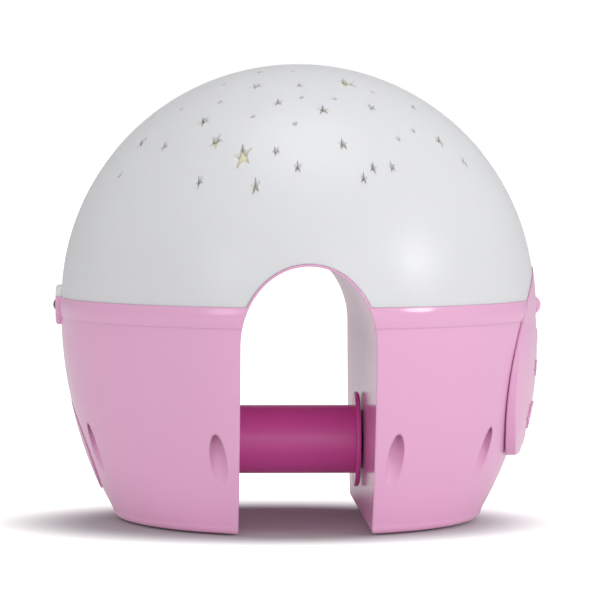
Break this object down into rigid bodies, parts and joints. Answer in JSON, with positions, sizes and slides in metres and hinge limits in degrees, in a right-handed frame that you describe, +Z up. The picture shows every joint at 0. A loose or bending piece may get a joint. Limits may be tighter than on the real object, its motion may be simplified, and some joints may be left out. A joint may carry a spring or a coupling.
{
  "type": "star night light projector",
  "caption": "Round night light with a white star-window dome on a pink base, straddling a cot rail with a spring clamp in its slot.",
  "frame": {"origin": "middle of the footprint on the table", "axes": "+Z up, +Y along the rail slot, +X from the clamp's leg towards the badge"},
  "size_m": [0.15, 0.1428, 0.1389],
  "materials": {
    "pink_plastic": "satin",
    "white_plastic": "satin",
    "milky_plastic": "matte",
    "magenta_plastic": "gloss",
    "dark_plastic": "satin",
    "black_rubber": "matte",
    "grey_rubber": "matte",
    "spring_steel": "satin",
    "inner_plastic": "matte",
    "circuit_board": "satin",
    "cell_jacket": "gloss",
    "led_epoxy": "gloss"
  },
  "bodies": {
    "base": {"lower_housing": "pink_plastic", "front_badge": "pink_plastic", "rear_bezel_lower": "pink_plastic", "clamp_end_cap": "pink_plastic", "battery_door": "pink_plastic", "dome_cover": "white_plastic", "rear_bezel_upper": "white_plastic", "dome_diffuser": "milky_plastic", "clamp_guide": "dark_plastic", "clamp_spring": "spring_steel", "battery_contacts": "spring_steel", "light_deck": "inner_plastic", "light_reflector": "inner_plastic", "main_circuit_board": "circuit_board", "led_board": "circuit_board", "housing_screw_1": "spring_steel", "housing_screw_2": "spring_steel", "housing_screw_3": "spring_steel", "housing_screw_4": "spring_steel", "housing_screw_5": "spring_steel", "housing_screw_6": "spring_steel", "housing_screw_7": "spring_steel", "housing_screw_8": "spring_steel", "battery_1": "cell_jacket", "battery_2": "cell_jacket", "battery_3": "cell_jacket", "led_1": "led_epoxy", "led_2": "led_epoxy", "led_3": "led_epoxy", "rubber_foot_1": "grey_rubber", "rubber_foot_2": "grey_rubber", "rubber_foot_3": "grey_rubber", "rubber_foot_4": "grey_rubber"},
    "clamp": {"clamp_plunger": "magenta_plastic", "clamp_pad": "black_rubber"},
    "front_push": {"front_button": "pink_plastic"},
    "rear_push": {"rear_button": "dark_plastic"}
  },
  "joints": [
    {"name": "clamp_slide", "type": "slide", "parent": "base", "child": "clamp", "axis": [-1, 0, 0], "range_m": [0, 0.028], "stiffness_N_per_m": 400, "springref_m": -0.02, "deforming": ["clamp_spring"]},
    {"name": "front_button_push", "type": "slide", "parent": "base", "child": "front_push", "axis": [-1, 0, 0], "range_m": [0, 0.0008], "stiffness_N_per_m": 1500, "springref_m": -0.0004},
    {"name": "rear_button_push", "type": "slide", "parent": "base", "child": "rear_push", "axis": [1, 0, 0], "range_m": [0, 0.0008], "stiffness_N_per_m": 1500, "springref_m": -0.0004}
  ]
}
